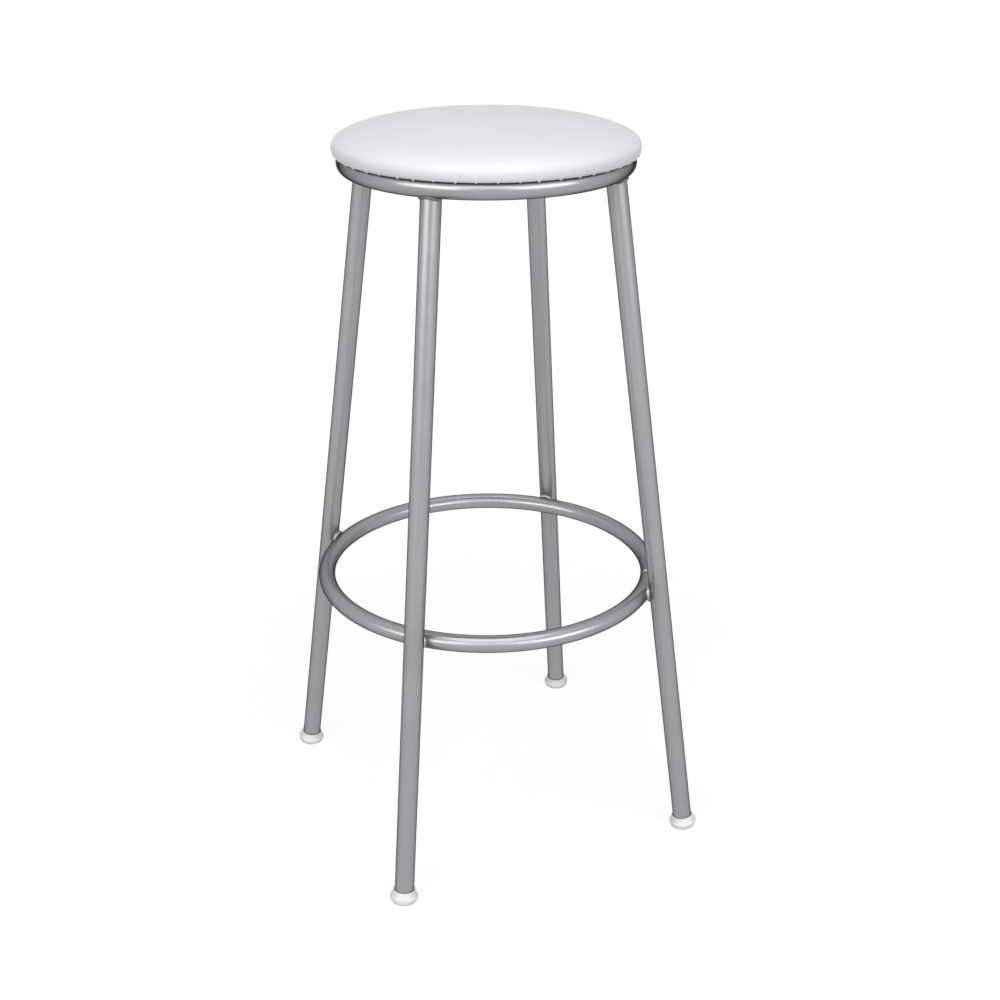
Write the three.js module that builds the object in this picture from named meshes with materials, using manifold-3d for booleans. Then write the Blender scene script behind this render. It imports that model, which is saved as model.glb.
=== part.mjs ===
import * as THREE from 'three';
import { mergeVertices } from 'three/addons/utils/BufferGeometryUtils.js';
import Module from 'manifold-3d';

// Round-seated counter stool on four splayed tube legs. Millimetres, +Z up, floor at z = 0,
// the stool's axis on the Z axis and its front towards -Y.

const wasm = await Module();
wasm.setup();

// Overall sizes: heights from the floor, radii from the stool's axis to the middle of a tube
const seatHeight = 760;
const padRise = 33;
const seatRingRadius = 136;
const legInset = 5;
const legFootRadius = 233;
const footRingHeight = 277;

// Steel tubes
const legDiameter = 20;
const legWall = 1.2;
const seatTubeDiameter = 20;
const seatTubeWall = 1.2;
const footTubeDiameter = 17.5;
const footTubeWall = 1.2;
const legHornDrop = 4;

// Running gap between pieces that touch, and how far a cutter passes a face
const clearance = 0.3;
const overrun = 5;

// Pad: board, foam and cover
const coverThickness = 1.2;
const boardOverhang = 7;
const boardThickness = 9;
const padOverhang = 7;
const edgeRise = 4.2;
const coverReturnWidth = 27;
const domeSideShare = 1.2;
const domeTopShare = 0.8;

// Staples that hold the cover's return under the board
const stapleCount = 16;
const stapleInset = 14;
const stapleWidth = 10;
const stapleLeg = 7;
const stapleWire = 1;
const stapleSlack = 0.2;

// Seat tabs inside the ring, and the screws through them
const tabWidth = 24;
const tabThickness = 3;
const tabReach = 26;
const screwShank = 4.2;
const screwHead = 8.4;
const screwHeadHeight = 2.6;
const screwBite = 7.5;
const recessWidth = 0.9;
const recessSpan = 4.4;
const recessDepth = 1.3;
const pilotSpare = 0.8;

// Welds
const legBeadRadius = 2.3;
const legBeadSweep = THREE.MathUtils.degToRad(112);
const crossBeadReach = 8.5;
const crossBeadDepth = 5;
const tabBeadRadius = 2;
const tabBeadLength = 15;
const seamGap = 0.6;
const seamBeadWidth = 3.2;
const seamBeadHeight = 0.6;
const seamBeadSweep = THREE.MathUtils.degToRad(230);

// Glides in the leg ends
const glideHeight = 14.5;
const glideWidest = 27.4;
const glideWaistHeight = 6.5;
const glideBaseRadius = 8;
const glideRimWall = 1.1;
const glideRimRise = 2;
const glideStemLength = 22;
const glideStemCoreGap = 1.5;
const glideRibCount = 3;
const glideRibPitch = 6;
const glideRibWidth = 1.6;

// Places round the axis
const legAngles = { rear_right: 45, rear_left: 135, front_left: 225, front_right: 315 };
const tabAngles = { right: 0, rear: 90, left: 180, front: 270 };
const seatSeamAngle = THREE.MathUtils.degToRad(81);
const footSeamAngle = THREE.MathUtils.degToRad(327);
const seatSeamFacing = THREE.MathUtils.degToRad(-90);
const footSeamFacing = THREE.MathUtils.degToRad(45);

// Fineness of round shapes, in counts
const padSides = 48;
const domeSteps = 6;
const edgeSteps = 2;
const ringSteps = 60;
const tubeSides = 14;
const boreSides = 6;
const legSides = 24;
const glideSides = 16;
const screwSides = 12;
const beadSides = 6;
const beadSteps = 10;
const beadPoints = 9;
const crossBeadSides = 12;
const crossBeadRows = 8;
const glideCurveSteps = 3;
const holeCurveSteps = 6;
const seamCurveSteps = 9;
const halvings = 24;
const cutterSides = 20;
const cutterSteps = 72;

// Sizes that follow from the ones above
const legRadius = legDiameter / 2;
const seatTubeRadius = seatTubeDiameter / 2;
const footTubeRadius = footTubeDiameter / 2;
const seatRingTop = seatHeight - padRise;
const seatRingHeight = seatRingTop - seatTubeRadius;
const legTopRadius = seatRingRadius - legInset;
const lean = Math.atan((legFootRadius - legTopRadius) / seatRingHeight);
const legRadiusAtFootRing = legFootRadius - footRingHeight * Math.tan(lean);
const footRingOffset = legRadius + footTubeRadius + clearance;
const footRingRadius = legRadiusAtFootRing - footRingOffset / Math.cos(lean);
const boardRadius = seatRingRadius + boardOverhang;
const padRadius = boardRadius + padOverhang;
const coverReturnRadius = boardRadius - coverReturnWidth;
const stapleRadius = seatRingRadius - stapleInset;
const tabHoleRadius = seatRingRadius - tabReach;
const coverBottom = seatRingTop + clearance;
const boardBottom = coverBottom + coverThickness + clearance;
const boardTop = boardBottom + boardThickness;
const padWidestHeight = coverBottom + edgeRise;

const paint = { color: 0xa9abad, roughness: 0.42, metalness: 0.75 };
const materials = {
  vinyl: new THREE.MeshStandardMaterial({ color: 0xefeff2, roughness: 0.45, metalness: 0 }),
  foam: new THREE.MeshStandardMaterial({ color: 0xe6d9a8, roughness: 0.95, metalness: 0 }),
  plywood: new THREE.MeshStandardMaterial({ color: 0xc49a62, roughness: 0.75, metalness: 0 }),
  steel: new THREE.MeshStandardMaterial(paint),
  weld: new THREE.MeshStandardMaterial({ color: 0x8f9193, roughness: 0.5, metalness: 0.75 }),
  plastic: new THREE.MeshStandardMaterial({ color: 0xf2f2f0, roughness: 0.5, metalness: 0 }),
  zinc: new THREE.MeshStandardMaterial({ color: 0xb8bcc0, roughness: 0.35, metalness: 0.9 }),
};

// Shape helpers

// A geometry with shared corners, no flat triangles and its faces pointing out.
function closed(geometry) {
  const bare = new THREE.BufferGeometry();
  bare.setAttribute('position', geometry.getAttribute('position').clone());
  bare.setIndex(geometry.index ? geometry.index.clone() : null);
  const merged = mergeVertices(bare);
  const corner = merged.getAttribute('position');
  const kept = [];
  let volume = 0;
  const [a, b, c] = [new THREE.Vector3(), new THREE.Vector3(), new THREE.Vector3()];
  for (let i = 0; i < merged.index.count; i += 3) {
    const face = [0, 1, 2].map((k) => merged.index.getX(i + k));
    if (new Set(face).size === 3) {
      kept.push(...face);
      a.fromBufferAttribute(corner, face[0]);
      b.fromBufferAttribute(corner, face[1]);
      c.fromBufferAttribute(corner, face[2]);
      volume += a.dot(b.cross(c));
    }
  }
  if (volume < 0) {
    kept.reverse();
  }
  merged.setIndex(kept);
  return merged;
}

function toSolid(geometry) {
  const shape = closed(geometry);
  return new wasm.Manifold(new wasm.Mesh({
    numProp: 3,
    vertProperties: new Float32Array(shape.getAttribute('position').array),
    triVerts: new Uint32Array(shape.index.array),
  }));
}

function toGeometry(solid) {
  const mesh = solid.getMesh();
  const geometry = new THREE.BufferGeometry();
  geometry.setAttribute('position', new THREE.BufferAttribute(new Float32Array(mesh.vertProperties), 3));
  geometry.setIndex(Array.from(mesh.triVerts));
  return geometry;
}

function subtract(body, ...cutters) {
  return toGeometry(cutters.reduce((left, cutter) => left.subtract(toSolid(cutter)), toSolid(body)));
}

// A profile of [radius, height] pairs turned round the Z axis.
function turned(profile, sides) {
  const points = profile.map(([radius, height]) => new THREE.Vector2(radius, height));
  return closed(new THREE.LatheGeometry(points, sides).rotateX(Math.PI / 2));
}

function rod(radius, from, to, sides) {
  return turned([[0, from], [radius, from], [radius, to], [0, to]], sides);
}

function box(width, depth, height, x, y, z) {
  return new THREE.BoxGeometry(width, depth, height).translate(x, y, z);
}

// An outline in the XY plane given a thickness upwards.
function flatPlate(outline, thickness, curveSegments) {
  return new THREE.ExtrudeGeometry(outline, { depth: thickness, bevelEnabled: false, curveSegments });
}

// A full round ring of solid section, used to cut the pieces that fit against a ring.
function ringCutter(radius, height, sectionRadius) {
  const profile = [];
  for (let i = 0; i <= cutterSides; i += 1) {
    const turn = (i % cutterSides) / cutterSides * 2 * Math.PI;
    profile.push([radius + sectionRadius * Math.cos(turn), height + sectionRadius * Math.sin(turn)]);
  }
  return turned(profile, cutterSteps);
}

function circlePoints(radius, sides) {
  return Array.from({ length: sides }, (unused, i) => {
    const turn = (i + 0.5) / sides * 2 * Math.PI;
    return new THREE.Vector2(radius * Math.cos(turn), radius * Math.sin(turn));
  });
}

class RingPath extends THREE.Curve {
  constructor(radius, height, start, sweep) {
    super();
    Object.assign(this, { radius, height, start, sweep });
  }

  getPoint(share, target = new THREE.Vector3()) {
    const turn = this.start + share * this.sweep;
    return target.set(this.radius * Math.cos(turn), this.radius * Math.sin(turn), this.height);
  }
}

// Leg frame: x points away from the stool's axis, square to the leg, and z runs up the leg.
const legFrame = new THREE.Matrix4()
  .makeRotationY(-lean)
  .setPosition(legFootRadius, 0, 0);

// Pad

// The dome from its widest circle to the crown, for a shell drawn in by a given thickness.
function domeProfile(drawnIn) {
  const profile = [];
  for (let i = 0; i <= domeSteps; i += 1) {
    const turn = i / domeSteps * Math.PI / 2;
    const across = i === domeSteps ? 0 : Math.cos(turn) ** domeSideShare;
    const up = Math.sin(turn) ** domeTopShare;
    const rise = seatHeight - drawnIn - padWidestHeight;
    profile.push([(padRadius - drawnIn) * across, padWidestHeight + rise * up]);
  }
  return profile;
}

// The rolled lower edge, from the board's rim out to the widest circle.
function edgeProfile(drawnIn) {
  const profile = [];
  for (let i = 0; i < edgeSteps; i += 1) {
    const turn = i / edgeSteps * Math.PI / 2;
    const out = (padRadius - drawnIn - boardRadius) * Math.sin(turn);
    const down = (edgeRise - drawnIn) * Math.cos(turn);
    profile.push([boardRadius + out, padWidestHeight - down]);
  }
  return profile;
}

function stapleSlots(slack) {
  const slots = [];
  const legPlace = (stapleWidth - stapleWire) / 2;
  for (let i = 0; i < stapleCount; i += 1) {
    for (const side of [-1, 1]) {
      const wide = stapleWire + 2 * slack;
      const deep = stapleLeg + slack + overrun;
      const slot = box(wide, wide, deep, stapleRadius, side * legPlace, coverBottom - overrun + deep / 2);
      slots.push(slot.rotateZ((i + 0.5) / stapleCount * 2 * Math.PI));
    }
  }
  return slots;
}

function seatCover() {
  const outside = [...edgeProfile(0), ...domeProfile(0)].reverse();
  const inside = [...edgeProfile(coverThickness), ...domeProfile(coverThickness)];
  const returnEdge = [
    [coverReturnRadius, coverBottom],
    [coverReturnRadius, coverBottom + coverThickness],
  ];
  return subtract(turned([...outside, ...returnEdge, ...inside], padSides), ...stapleSlots(stapleSlack));
}

function seatFoam() {
  const rebateRadius = boardRadius + clearance;
  const rebateTop = boardTop + clearance;
  const underside = [[0, rebateTop], [rebateRadius, rebateTop], [rebateRadius, padWidestHeight]];
  return turned([...underside, ...domeProfile(coverThickness + clearance)], padSides);
}

function seatBoard() {
  const pilotRadius = screwShank / 2 + clearance;
  const pilotTop = boardBottom + screwBite + pilotSpare;
  const pilots = Object.values(tabAngles).map((angle) => (
    rod(pilotRadius, boardBottom - overrun, pilotTop, screwSides)
      .translate(tabHoleRadius, 0, 0)
      .rotateZ(THREE.MathUtils.degToRad(angle))));
  return subtract(rod(boardRadius, boardBottom, boardTop, padSides), ...pilots, ...stapleSlots(stapleSlack));
}

function staple() {
  const half = stapleWidth / 2;
  const inner = half - stapleWire;
  const crownBottom = -clearance - stapleWire;
  const crownTop = -clearance;
  const legTop = crownTop + stapleLeg;
  const outline = new THREE.Shape([
    [-half, crownBottom], [half, crownBottom], [half, legTop], [inner, legTop],
    [inner, crownTop], [-inner, crownTop], [-inner, legTop], [-half, legTop],
  ].map(([across, up]) => new THREE.Vector2(across, up)));
  return closed(flatPlate(outline, stapleWire, 1)
    .translate(0, 0, -stapleWire / 2)
    .rotateX(Math.PI / 2)
    .rotateZ(Math.PI / 2)
    .translate(stapleRadius, 0, coverBottom));
}

// Rings

// A tube rolled into a ring, its two ends facing each other across the seam.
function rolledTube(radius, height, outerRadius, wall, seamAngle) {
  const section = new THREE.Shape(circlePoints(outerRadius, tubeSides));
  section.holes.push(new THREE.Path(circlePoints(outerRadius - wall, boreSides)));
  const halfGap = seamGap / 2 / radius;
  const path = new RingPath(radius, height, seamAngle + halfGap, 2 * Math.PI - 2 * halfGap);
  return closed(new THREE.ExtrudeGeometry(section, { steps: ringSteps, extrudePath: path }));
}

// A bead laid across the seam on the side of the tube that it faces; the far side is left flush.
function seamWeld(radius, height, outerRadius, seamAngle, facing) {
  const inner = outerRadius + clearance;
  const [from, to] = [facing - seamBeadSweep / 2, facing + seamBeadSweep / 2];
  const outline = new THREE.Shape();
  outline.absarc(0, 0, inner + seamBeadHeight, from, to);
  outline.absarc(0, 0, inner, to, from, true);
  return closed(flatPlate(outline, seamBeadWidth, seamCurveSteps)
    .translate(0, 0, -seamBeadWidth / 2)
    .rotateX(Math.PI / 2)
    .translate(radius, 0, height)
    .rotateZ(seamAngle));
}

// Legs, in the plane of the X and Z axes

function legTube() {
  const bore = legRadius - legWall;
  const top = (seatRingHeight - legHornDrop) / Math.cos(lean);
  const tube = turned(
    [[bore, glideHeight], [legRadius, glideHeight], [legRadius, top], [bore, top], [bore, glideHeight]],
    legSides,
  ).applyMatrix4(legFrame);
  return subtract(tube, ringCutter(seatRingRadius, seatRingHeight, seatTubeRadius + clearance));
}

// A rod a clearance larger than the leg, which trims the welds beside it.
function legCutter() {
  const reach = seatRingHeight / Math.cos(lean) + overrun;
  return rod(legRadius + clearance, -overrun, reach, legSides).applyMatrix4(legFrame);
}

// The point of the leg's surface, at one turn round the leg, that meets the seat ring's underside.
function saddlePoint(turn) {
  const place = (along) => new THREE.Vector3(
    legRadius * Math.cos(turn), legRadius * Math.sin(turn), along,
  ).applyMatrix4(legFrame);
  let low = seatRingHeight / 2;
  let high = seatRingHeight / Math.cos(lean);
  for (let i = 0; i < halvings; i += 1) {
    const along = (low + high) / 2;
    const point = place(along);
    const offAxis = Math.hypot(point.x, point.y) - seatRingRadius;
    const below = point.z < seatRingHeight && Math.hypot(offAxis, point.z - seatRingHeight) > seatTubeRadius;
    low = below ? along : low;
    high = below ? high : along;
  }
  return place(low);
}

function legWeld() {
  const turns = Array.from({ length: beadPoints }, (unused, i) => 2 * i / (beadPoints - 1) - 1);
  const path = new THREE.CatmullRomCurve3(turns.map((turn) => saddlePoint(turn * legBeadSweep)));
  const section = new THREE.Shape(circlePoints(legBeadRadius, beadSides));
  const bead = new THREE.ExtrudeGeometry(section, { steps: beadSteps, extrudePath: path });
  return subtract(bead, legCutter(), ringCutter(seatRingRadius, seatRingHeight, seatTubeRadius + clearance));
}

// The weld that fills round the crossing of the foot ring and a leg.
function footRingWeld() {
  const away = footTubeRadius + clearance / 2;
  return subtract(
    new THREE.SphereGeometry(crossBeadReach, crossBeadSides, crossBeadRows)
      .scale(crossBeadDepth / crossBeadReach, 1, 1)
      .rotateY(-lean)
      .translate(footRingRadius + away * Math.cos(lean), 0, footRingHeight + away * Math.sin(lean)),
    legCutter(),
    ringCutter(footRingRadius, footRingHeight, footTubeRadius + clearance),
  );
}

// Glides: a cupped foot, cut level with the floor, on a ribbed stem that fills the leg's bore
function glide() {
  const baseDrop = glideBaseRadius * Math.tan(lean);
  const widest = glideWidest / 2;
  const rimInner = legRadius + clearance;
  const rimOuter = rimInner + glideRimWall;
  const seat = glideHeight - clearance;
  const rimTop = glideHeight + glideRimRise;
  const rib = legRadius - legWall - clearance;
  const core = rib - glideStemCoreGap;
  const profile = [[0, -baseDrop]];
  for (let i = 0; i <= glideCurveSteps; i += 1) {
    const turn = i / glideCurveSteps * Math.PI / 2;
    const out = (widest - glideBaseRadius) * Math.sin(turn);
    const down = (glideWaistHeight + baseDrop) * Math.cos(turn);
    profile.push([glideBaseRadius + out, glideWaistHeight - down]);
  }
  for (let i = 1; i <= glideCurveSteps; i += 1) {
    const turn = i / glideCurveSteps * Math.PI / 2;
    const out = (widest - rimOuter) * Math.cos(turn);
    profile.push([rimOuter + out, glideWaistHeight + (rimTop - glideWaistHeight) * Math.sin(turn)]);
  }
  profile.push([rimInner, rimTop], [rimInner, seat], [core, seat]);
  for (let i = 0; i < glideRibCount; i += 1) {
    const start = seat + (i + 0.5) * glideRibPitch;
    profile.push([core, start], [rib, start], [core, start + glideRibWidth]);
  }
  profile.push([core, seat + glideStemLength], [0, seat + glideStemLength]);
  const floorWidth = 2 * glideWidest;
  const belowFloor = box(floorWidth, floorWidth, floorWidth, legFootRadius, 0, -floorWidth / 2);
  return subtract(turned(profile, glideSides).applyMatrix4(legFrame), belowFloor);
}

// Seat tabs and screws, in the plane of the X and Z axes

function tabBlank(spare) {
  const half = tabWidth / 2 + spare;
  const outline = new THREE.Shape();
  outline.moveTo(seatRingRadius, half);
  outline.lineTo(tabHoleRadius, half);
  outline.absarc(tabHoleRadius, 0, half, Math.PI / 2, 3 * Math.PI / 2);
  outline.lineTo(seatRingRadius, -half);
  return outline;
}

function seatTab() {
  const outline = tabBlank(0);
  const hole = new THREE.Path();
  hole.absarc(tabHoleRadius, 0, screwShank / 2 + clearance, 0, 2 * Math.PI);
  outline.holes.push(hole);
  const plate = flatPlate(outline, tabThickness, holeCurveSteps)
    .translate(0, 0, seatRingTop - tabThickness);
  return subtract(plate, ringCutter(seatRingRadius, seatRingHeight, seatTubeRadius + clearance));
}

function tabWeld() {
  const tabUnderside = seatRingTop - tabThickness;
  const rise = tabUnderside - seatRingHeight;
  const flank = seatRingRadius - Math.sqrt(seatTubeRadius ** 2 - rise ** 2);
  const bead = rod(tabBeadRadius, -tabBeadLength / 2, tabBeadLength / 2, beadSides)
    .rotateX(Math.PI / 2)
    .translate(flank, 0, tabUnderside);
  const above = tabUnderside - clearance;
  const plate = box(tabWidth, tabWidth, tabWidth, flank, 0, above + tabWidth / 2);
  return subtract(bead, plate, ringCutter(seatRingRadius, seatRingHeight, seatTubeRadius + clearance));
}

function seatScrew() {
  const headTop = seatRingTop - tabThickness - clearance;
  const headBottom = headTop - screwHeadHeight;
  const headRadius = screwHead / 2;
  const shank = screwShank / 2;
  const tip = boardBottom + screwBite;
  const body = turned([
    [0, headBottom], [headRadius - recessDepth, headBottom], [headRadius, headBottom + recessDepth],
    [headRadius, headTop], [shank, headTop], [shank, tip - shank], [0, tip],
  ], screwSides);
  const arms = [[recessSpan, recessWidth], [recessWidth, recessSpan]];
  return subtract(
    body,
    ...arms.map(([across, along]) => box(across, along, 2 * recessDepth, 0, 0, headBottom)),
  ).translate(tabHoleRadius, 0, 0);
}

// Assembly

const stool = new THREE.Group();

function add(name, geometry, material, angle = 0) {
  const mesh = new THREE.Mesh(geometry, material);
  mesh.name = name;
  mesh.rotation.z = angle;
  stool.add(mesh);
}

add('seat_cover', seatCover(), materials.vinyl);
add('seat_foam', seatFoam(), materials.foam);
add('seat_board', seatBoard(), materials.plywood);

for (let i = 0; i < stapleCount; i += 1) {
  const label = String(i + 1).padStart(2, '0');
  add(`staple_${label}`, staple(), materials.zinc, (i + 0.5) / stapleCount * 2 * Math.PI);
}

const seatRingSize = [seatRingRadius, seatRingHeight, seatTubeRadius];
const footRingSize = [footRingRadius, footRingHeight, footTubeRadius];
add('seat_ring', rolledTube(...seatRingSize, seatTubeWall, seatSeamAngle), materials.steel);
add('seat_ring_seam_weld', seamWeld(...seatRingSize, seatSeamAngle, seatSeamFacing), materials.weld);
add('foot_ring', rolledTube(...footRingSize, footTubeWall, footSeamAngle), materials.steel);
add('foot_ring_seam_weld', seamWeld(...footRingSize, footSeamAngle, footSeamFacing), materials.weld);

for (const [place, angle] of Object.entries(legAngles)) {
  const turn = THREE.MathUtils.degToRad(angle);
  add(`leg_${place}`, legTube(), materials.steel, turn);
  add(`leg_weld_${place}`, legWeld(), materials.weld, turn);
  add(`foot_ring_weld_${place}`, footRingWeld(), materials.weld, turn);
  add(`glide_${place}`, glide(), materials.plastic, turn);
}

for (const [place, angle] of Object.entries(tabAngles)) {
  const turn = THREE.MathUtils.degToRad(angle);
  add(`seat_tab_${place}`, seatTab(), materials.steel, turn);
  add(`tab_weld_${place}`, tabWeld(), materials.weld, turn);
  add(`seat_screw_${place}`, seatScrew(), materials.zinc, turn);
}

export default stool;
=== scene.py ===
from math import atan, atan2, cos, exp, hypot, pi, radians, sin, sqrt, tan

import bmesh
import bpy
from mathutils import Matrix, Vector


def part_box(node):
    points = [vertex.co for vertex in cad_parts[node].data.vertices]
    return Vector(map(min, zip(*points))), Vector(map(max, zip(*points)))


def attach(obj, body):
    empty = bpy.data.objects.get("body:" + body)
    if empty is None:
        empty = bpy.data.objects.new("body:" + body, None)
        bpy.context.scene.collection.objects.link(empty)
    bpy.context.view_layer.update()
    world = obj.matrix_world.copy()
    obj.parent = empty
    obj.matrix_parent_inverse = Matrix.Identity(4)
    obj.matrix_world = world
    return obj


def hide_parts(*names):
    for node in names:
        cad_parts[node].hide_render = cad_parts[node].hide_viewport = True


# Round-seated counter stool on four splayed tube legs. Metres, +Z up, the floor at z = 0, the stool's
# axis on the Z axis and its front towards -Y.

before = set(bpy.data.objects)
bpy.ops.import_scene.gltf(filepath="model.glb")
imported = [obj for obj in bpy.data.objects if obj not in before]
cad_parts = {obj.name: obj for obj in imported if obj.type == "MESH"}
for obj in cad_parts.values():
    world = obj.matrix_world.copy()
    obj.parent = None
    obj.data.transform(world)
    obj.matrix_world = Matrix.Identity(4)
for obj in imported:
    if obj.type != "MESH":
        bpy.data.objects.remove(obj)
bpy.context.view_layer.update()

MM = 0.001

# Sizes shared with the frame. SEAT_TUBE, LEG_TUBE and FOOT_TUBE are the tubes' outer radii.
SEAT_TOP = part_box("seat_cover")[1].z
SEAT_RING_TOP = SEAT_TOP - 33 * MM
SEAT_RING_RADIUS = 136 * MM
SEAT_TUBE = 10 * MM
LEG_FOOT_RADIUS = 233 * MM
LEG_INSET = 5 * MM
LEG_TUBE = 10 * MM
LEG_HORN_DROP = 4 * MM
FOOT_RING_HEIGHT = 277 * MM
FOOT_TUBE = 8.75 * MM
TUBE_WALL = 1.2 * MM
CLEARANCE = 0.3 * MM
SEAM_GAP = 0.6 * MM
SEAT_SEAM_ANGLE = radians(81)
FOOT_SEAM_ANGLE = radians(327)

SEAT_RING_HEIGHT = SEAT_RING_TOP - SEAT_TUBE
LEAN = atan((LEG_FOOT_RADIUS - SEAT_RING_RADIUS + LEG_INSET) / SEAT_RING_HEIGHT)
LEG_REACH_AT_FOOT_RING = LEG_FOOT_RADIUS - FOOT_RING_HEIGHT * tan(LEAN)
FOOT_RING_RADIUS = LEG_REACH_AT_FOOT_RING - (LEG_TUBE + FOOT_TUBE + CLEARANCE) / cos(LEAN)

# Pad. PAD_WIDEST is the height of its widest circle, and the dome's powers make its sides rounder
# and its top flatter than an ellipse's.
COVER_BOTTOM = SEAT_RING_TOP + CLEARANCE
COVER_THICKNESS = 1.2 * MM
BOARD_RADIUS = SEAT_RING_RADIUS + 7 * MM
PAD_RADIUS = BOARD_RADIUS + 7 * MM
PAD_WIDEST = COVER_BOTTOM + 4.2 * MM
HEM_RADIUS = PAD_RADIUS - 3.4 * MM
HEM_DROP = 2.9 * MM
HEM_BOTTOM = COVER_BOTTOM - HEM_DROP
RETURN_RADIUS = BOARD_RADIUS - 27 * MM
STAPLE_RADIUS = SEAT_RING_RADIUS - 14 * MM
DOME_SIDE_POWER = 1.2
DOME_TOP_POWER = 0.8

# The frame has a staple at every third gather, from the second gather on.
STAPLE_NODES = 16
GATHERS_PER_NODE = 3
FIRST_STAPLED_GATHER = 1
GATHERS = GATHERS_PER_NODE * STAPLE_NODES
GATHER_SPACING = 2 * pi / GATHERS

LEG_ANGLES = {
    "rear_right": radians(45), "rear_left": radians(135),
    "front_left": radians(225), "front_right": radians(315),
}
TAB_ANGLES = {"right": 0, "rear": radians(90), "left": radians(180), "front": radians(270)}

# Leg frame: x points away from the stool's axis, square to the leg, and z runs up the leg.
LEG_FRAME = Matrix.Translation((LEG_FOOT_RADIUS, 0, 0)) @ Matrix.Rotation(-LEAN, 4, "Y")


# Mesh helpers

SHARP_CORNER = radians(50)


def smooth_step(low, high, value):
    share = min(max((value - low) / (high - low), 0), 1)
    return share * share * (3 - 2 * share)


def turned_about_axis(angle):
    return Matrix.Rotation(angle, 4, "Z")


def finished(bm, name, material, slot, *nodes, smooth=True):
    """Makes a piece of a bmesh, with its corners sharp where they are meant to be."""
    bmesh.ops.remove_doubles(bm, verts=bm.verts, dist=0.002 * MM)
    bmesh.ops.recalc_face_normals(bm, faces=bm.faces)
    for face in bm.faces:
        face.smooth = smooth
    mesh = bpy.data.meshes.new(name)
    bm.to_mesh(mesh)
    bm.free()
    mesh.set_sharp_from_angle(angle=SHARP_CORNER)
    return placed(mesh, name, material, slot, *nodes)


def placed(mesh, name, material, slot, *nodes):
    """Makes a piece of a mesh, riding on the stool's one body."""
    piece = bpy.data.objects.new(name, mesh)
    bpy.context.scene.collection.objects.link(piece)
    mesh.materials.clear()
    mesh.materials.append(material)
    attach(piece, "root")
    if nodes:
        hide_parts(*nodes)
    return piece


def edges_of(items):
    return [item for item in items if isinstance(item, bmesh.types.BMEdge)]


def verts_of(items):
    return [item for item in items if isinstance(item, bmesh.types.BMVert)]


def turned(bm, profile, sides):
    """Turns a line of [radius, height] pairs round the Z axis."""
    points = [bm.verts.new((radius, 0, height)) for radius, height in profile]
    line = points + [bm.edges.new(pair) for pair in zip(points, points[1:])]
    bmesh.ops.spin(
        bm, geom=line, cent=(0, 0, 0), axis=(0, 0, 1), angle=2 * pi, steps=sides, use_merge=True)


def arc(centre, radii, start, end, steps):
    """Points of an upright arc, from one turn to another, about a [radius, height] centre."""
    turns = [start + (end - start) * i / steps for i in range(steps + 1)]
    return [(centre[0] + radii[0] * cos(t), centre[1] + radii[1] * sin(t)) for t in turns]


# Weld beads: radius, how far the torch's dabs stand out as a share of it, and the dabs' spacing.
# A bead with open ends grows from its tips over BEAD_TAPER of its points.
SEAM_BEAD = (1.5 * MM, 0.12, 1.5 * MM)
LEG_BEAD = (1.8 * MM, 0.06, 2.1 * MM)
FOOT_RING_BEAD = (2.3 * MM, 0.13, 2.1 * MM)
TAB_BEAD = (1.9 * MM, 0.14, 2 * MM)
BEAD_TAPER = 0.25
BEAD_TIP = 0.6


def weld_bead(node, path, bead, material, closed=False):
    """A weld bead along a path of points, in place of the frame's plain one."""
    radius, ripple, pitch = bead
    name = node + "_fine"
    curve = bpy.data.curves.new(name, "CURVE")
    curve.dimensions = "3D"
    curve.bevel_depth = radius
    curve.bevel_resolution = 5
    curve.use_fill_caps = not closed
    spline = curve.splines.new("POLY")
    spline.points.add(len(path) - 1)
    spline.use_cyclic_u = closed
    along = 0
    for i, point in enumerate(path):
        along += (path[i] - path[i - 1]).length if i else 0
        from_end = min(i, len(path) - 1 - i) + BEAD_TIP
        end = 1 if closed else smooth_step(0, BEAD_TAPER * len(path), from_end)
        spline.points[i].co = (*point, 1)
        spline.points[i].radius = end * (1 + ripple * abs(sin(pi * along / pitch)))
    holder = bpy.data.objects.new(name, curve)
    mesh = bpy.data.meshes.new_from_object(holder)
    bpy.data.objects.remove(holder)
    bpy.data.curves.remove(curve)
    bm = bmesh.new()
    bm.from_mesh(mesh)
    bpy.data.meshes.remove(mesh)
    finished(bm, name, material, "weld", node)


# Node material helpers

NOISE_RANGE = (0.3, 0.7)


def new_node(tree, kind, constants=None):
    """A node of a material or of the world, with constants on some of its inputs."""
    node = tree.nodes.new(kind)
    for name, value in (constants or {}).items():
        node.inputs[name].default_value = value
    return node


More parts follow.
